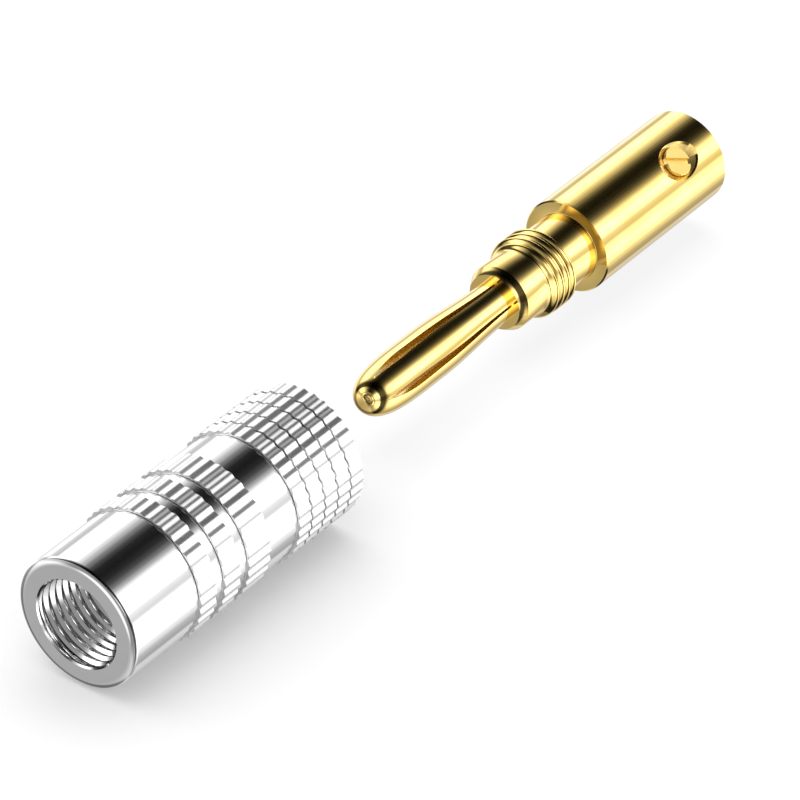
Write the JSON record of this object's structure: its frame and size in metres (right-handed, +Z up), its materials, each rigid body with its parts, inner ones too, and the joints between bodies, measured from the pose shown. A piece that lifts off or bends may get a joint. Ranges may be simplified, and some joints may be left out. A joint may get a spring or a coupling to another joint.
{
  "type": "banana plug",
  "caption": "Screw-type banana plug: gilded barrel with set screws, slotted spring pin and a knurled screw-on sleeve shown drawn off the front.",
  "frame": {"origin": "centre of the wire bore's mouth, in the barrel's rear face", "axes": "+X along the plug towards the pin's tip and the drawn-off sleeve, +Z up"},
  "size_m": [0.0784, 0.0114, 0.0114],
  "materials": {
    "gilded_brass": "polished gilding",
    "bright_plating": "polished bright plating"
  },
  "bodies": {
    "plug": {"plug_body": "gilded_brass", "contact_pin": "gilded_brass"},
    "front_screw": {"set_screw_a": "gilded_brass"},
    "back_screw": {"set_screw_b": "gilded_brass"},
    "sleeve": {"sleeve": "bright_plating"}
  },
  "joints": [
    {"name": "sleeve_slide", "type": "slide", "parent": "plug", "child": "sleeve", "axis": [-1, 0, 0], "range_m": [0, 0.05175]},
    {"name": "front_screw_feed", "type": "slide", "parent": "plug", "child": "front_screw", "axis": [0, -0.6561, -0.7547], "range_m": [0, 0.0012]},
    {"name": "back_screw_feed", "type": "slide", "parent": "plug", "child": "back_screw", "axis": [0, 0.6561, 0.7547], "range_m": [0, 0.0012]}
  ]
}
